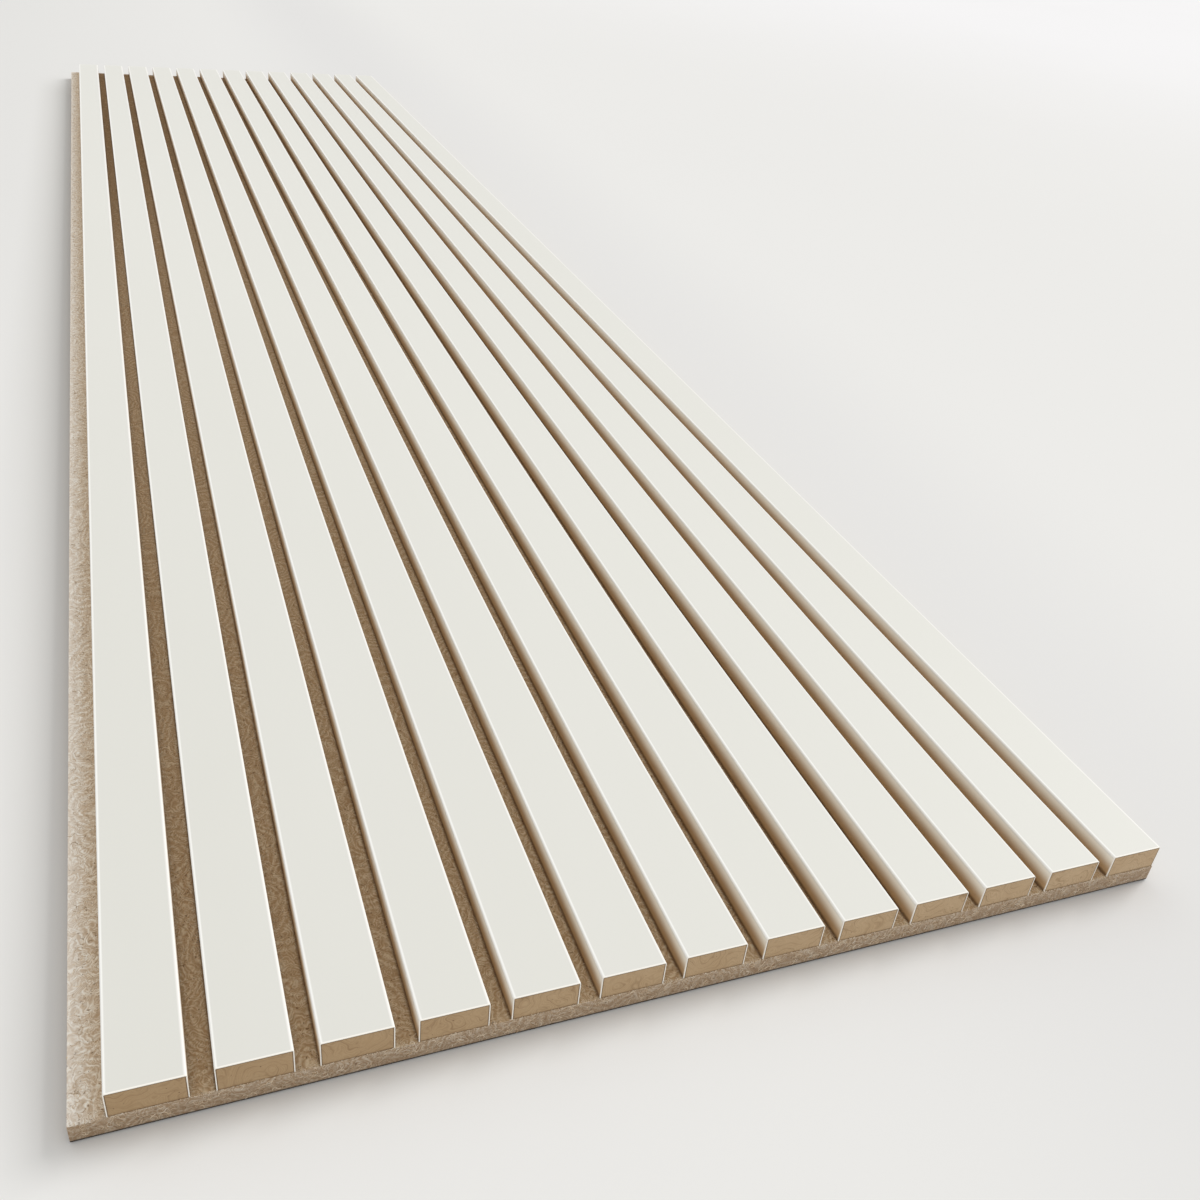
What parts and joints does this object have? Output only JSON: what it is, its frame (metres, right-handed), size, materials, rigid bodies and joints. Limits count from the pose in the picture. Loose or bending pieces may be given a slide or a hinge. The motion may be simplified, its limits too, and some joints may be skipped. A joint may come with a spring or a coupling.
{
  "type": "acoustic slat panel",
  "caption": "Flat wall panel of parallel white-wrapped fibreboard slats on a felt board, with open channels between the slats that let sound reach the felt.",
  "frame": {"origin": "centre of the felt's flat back face", "axes": "+X across the slats, from the bare felt margin towards the last slat; +Y along the slats; +Z out of the face that shows in the room"},
  "size_m": [0.6, 2.4, 0.0275],
  "materials": {
    "felt": "matte",
    "fibreboard": "matte",
    "white_wrap": "satin"
  },
  "bodies": {
    "root": {"felt_backing": "felt", "slat_core_01": "fibreboard", "slat_core_02": "fibreboard", "slat_core_03": "fibreboard", "slat_core_04": "fibreboard", "slat_core_05": "fibreboard", "slat_core_06": "fibreboard", "slat_core_07": "fibreboard", "slat_core_08": "fibreboard", "slat_core_09": "fibreboard", "slat_core_10": "fibreboard", "slat_core_11": "fibreboard", "slat_core_12": "fibreboard", "slat_core_13": "fibreboard", "slat_wrap_01": "white_wrap", "slat_wrap_02": "white_wrap", "slat_wrap_03": "white_wrap", "slat_wrap_04": "white_wrap", "slat_wrap_05": "white_wrap", "slat_wrap_06": "white_wrap", "slat_wrap_07": "white_wrap", "slat_wrap_08": "white_wrap", "slat_wrap_09": "white_wrap", "slat_wrap_10": "white_wrap", "slat_wrap_11": "white_wrap", "slat_wrap_12": "white_wrap", "slat_wrap_13": "white_wrap"}
  },
  "joints": []
}
